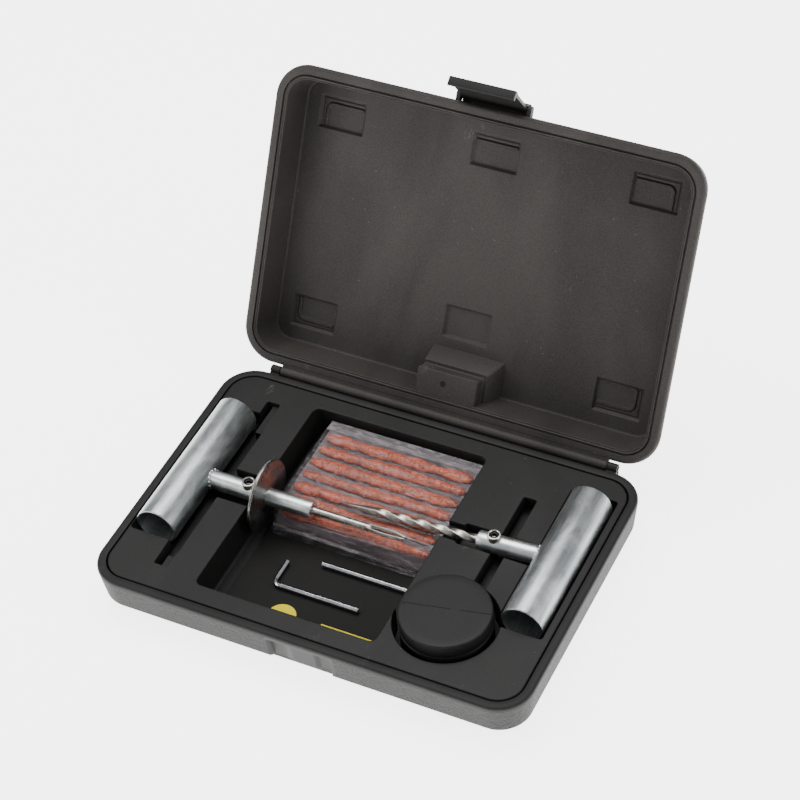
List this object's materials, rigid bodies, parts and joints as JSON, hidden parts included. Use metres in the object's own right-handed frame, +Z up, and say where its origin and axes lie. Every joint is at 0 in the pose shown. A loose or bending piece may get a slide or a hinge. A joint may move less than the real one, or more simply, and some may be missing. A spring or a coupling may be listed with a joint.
{
  "type": "tyre plug insertion tool kit",
  "caption": "Moulded case with a hinged lid that holds a T-handle plug insertion tool, a T-handle spiral rasp, plug strips in film, hex keys and a round tub.",
  "frame": {"origin": "middle of the underside of the case", "axes": "+X along the lid's hinge to the rasp's side, +Y to the hinge side, +Z up"},
  "size_m": [0.268, 0.2934, 0.2104],
  "materials": {
    "case_plastic": "moulded, matt, grained sides",
    "lid_plastic": "moulded, matt, fine grain",
    "tub_plastic": "satin",
    "zinc": "zinc plated",
    "bright_steel": "nickel plated",
    "chrome": "bright",
    "black_steel": "black oxide",
    "plug_rubber": "tacky, fibrous",
    "clear_film": "clear film",
    "card_print": "printed card"
  },
  "bodies": {
    "case": {"case_base": "case_plastic", "case_tray": "case_plastic", "hinge_pin": "chrome", "instruction_card": "card_print", "strip_core": "plug_rubber", "strip_film": "clear_film", "plug_strip_1": "plug_rubber", "plug_strip_2": "plug_rubber", "plug_strip_3": "plug_rubber", "plug_strip_4": "plug_rubber", "plug_strip_5": "plug_rubber", "plug_strip_6": "plug_rubber", "plug_strip_7": "plug_rubber"},
    "lid_body": {"lid": "lid_plastic", "latch_pin": "chrome"},
    "latch_body": {"latch": "lid_plastic"},
    "insertion_tool": {"insertion_handle": "zinc", "insertion_shank": "zinc", "insertion_screw_boss": "zinc"},
    "insertion_screw": {"insertion_set_screw": "black_steel"},
    "stop_collar": {"stop_sleeve": "zinc", "stop_disc": "bright_steel"},
    "needle": {"insertion_needle": "bright_steel"},
    "rasp_tool": {"rasp_handle": "zinc", "rasp_shank": "zinc", "rasp_screw_boss": "zinc"},
    "rasp_screw": {"rasp_set_screw": "black_steel"},
    "rasp": {"rasp_bit": "bright_steel"},
    "key_1": {"hex_key_1": "chrome"},
    "key_2": {"hex_key_2": "chrome"},
    "tub": {"tub_body": "tub_plastic"},
    "cap": {"tub_cap": "tub_plastic"}
  },
  "joints": [
    {"name": "lid_hinge", "type": "hinge", "parent": "case", "child": "lid_body", "pos_m": [0, 0.0944, 0.02665], "axis": [-1, 0, 0], "range_deg": [-119.24, 0]},
    {"name": "latch_hinge", "type": "hinge", "parent": "lid_body", "child": "latch_body", "pos_m": [0, 0.19383, 0.18759], "axis": [-1, 0, 0], "range_deg": [-26.6, 40]},
    {"name": "insertion_tool_lift", "type": "slide", "parent": "case", "child": "insertion_tool", "axis": [0, 0, 1], "range_m": [0, 0.06]},
    {"name": "insertion_screw_turn", "type": "hinge", "parent": "insertion_tool", "child": "insertion_screw", "pos_m": [-0.0762, 0.0006, 0.026], "axis": [0, 0, 1], "continuous": true},
    {"name": "needle_draw", "type": "slide", "parent": "insertion_tool", "child": "needle", "axis": [1, 0, 0], "range_m": [0, 0.014]},
    {"name": "stop_collar_slide", "type": "slide", "parent": "insertion_tool", "child": "stop_collar", "axis": [1, 0, 0], "range_m": [0, 0.0035]},
    {"name": "rasp_tool_lift", "type": "slide", "parent": "case", "child": "rasp_tool", "axis": [0, 0, 1], "range_m": [0, 0.06]},
    {"name": "rasp_screw_turn", "type": "hinge", "parent": "rasp_tool", "child": "rasp_screw", "pos_m": [0.07156, 0.01588, 0.02653], "axis": [0.0139, 0.0008, 0.9999], "continuous": true},
    {"name": "rasp_draw", "type": "slide", "parent": "rasp_tool", "child": "rasp", "axis": [-0.9983, -0.0558, 0.014], "range_m": [0, 0.015]},
    {"name": "key_1_lift", "type": "slide", "parent": "case", "child": "key_1", "axis": [0, 0, 1], "range_m": [0, 0.06]},
    {"name": "key_2_lift", "type": "slide", "parent": "case", "child": "key_2", "axis": [0, 0, 1], "range_m": [0, 0.06]},
    {"name": "tub_lift", "type": "slide", "parent": "case", "child": "tub", "axis": [0, 0, 1], "range_m": [0, 0.06]},
    {"name": "cap_turn", "type": "hinge", "parent": "tub", "child": "cap", "pos_m": [0.0701, -0.0447, 0.0085], "axis": [0, 0, 1], "continuous": true}
  ]
}
